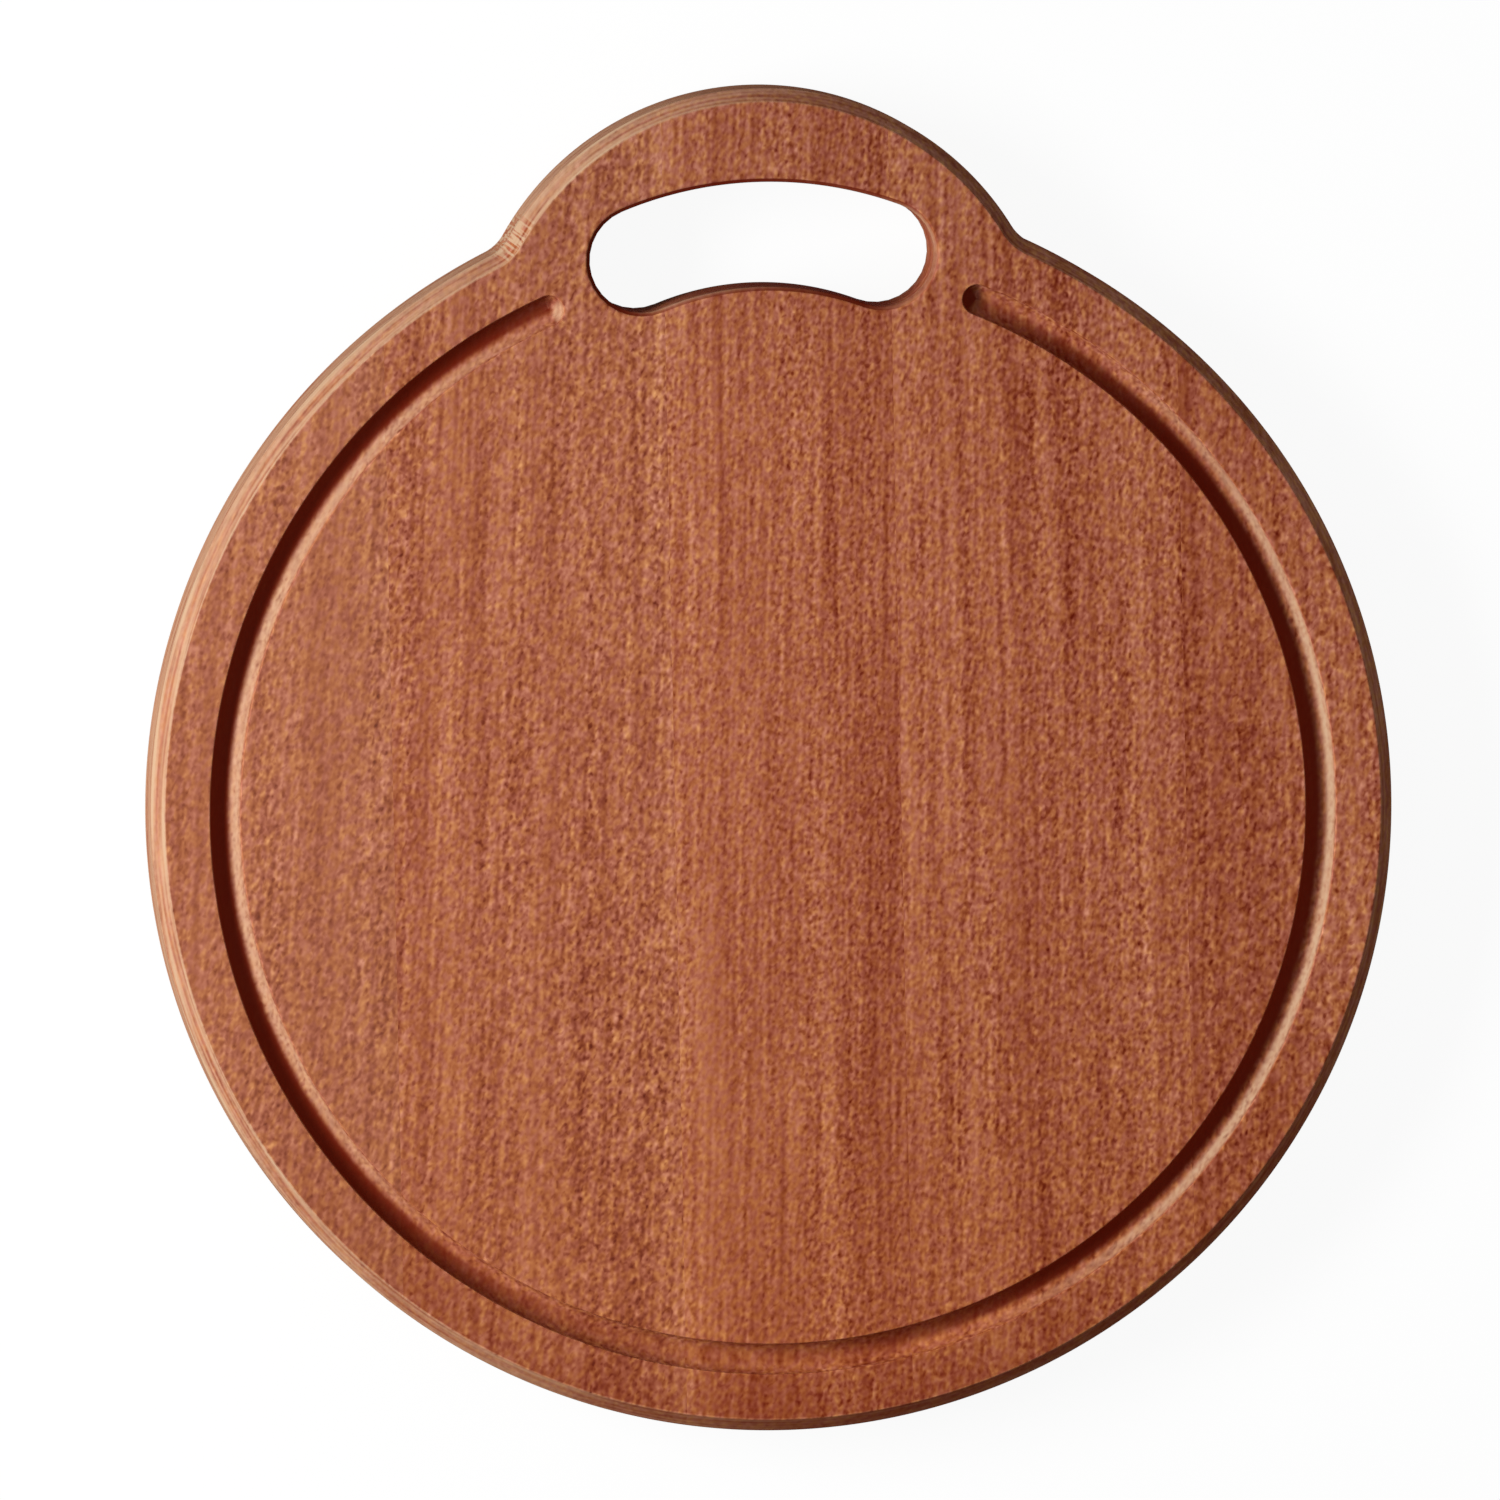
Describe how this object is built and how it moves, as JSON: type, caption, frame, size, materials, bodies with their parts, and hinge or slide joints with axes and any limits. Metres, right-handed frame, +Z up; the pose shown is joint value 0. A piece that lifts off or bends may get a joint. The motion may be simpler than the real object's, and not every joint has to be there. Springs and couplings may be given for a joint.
{
  "type": "round chopping board",
  "caption": "Round wooden chopping board with a rounded handle lobe, an arched finger slot, a juice groove open at the handle and a bevelled rim, glued up from staves.",
  "frame": {"origin": "centre of the round cutting area, on the underside that the board rests on", "axes": "+Z up out of the cutting face, +Y along the grain towards the handle lobe, +X to the right of the handle seen from above"},
  "size_m": [0.34, 0.367, 0.025],
  "materials": {
    "oiled_hardwood": "oiled satin, reddish-brown long grain with fine flecks"
  },
  "bodies": {
    "root": {"outer_left_stave": "oiled_hardwood", "inner_left_stave": "oiled_hardwood", "centre_stave": "oiled_hardwood", "centre_stave_grip": "oiled_hardwood", "inner_right_stave": "oiled_hardwood", "outer_right_stave": "oiled_hardwood"}
  },
  "joints": []
}
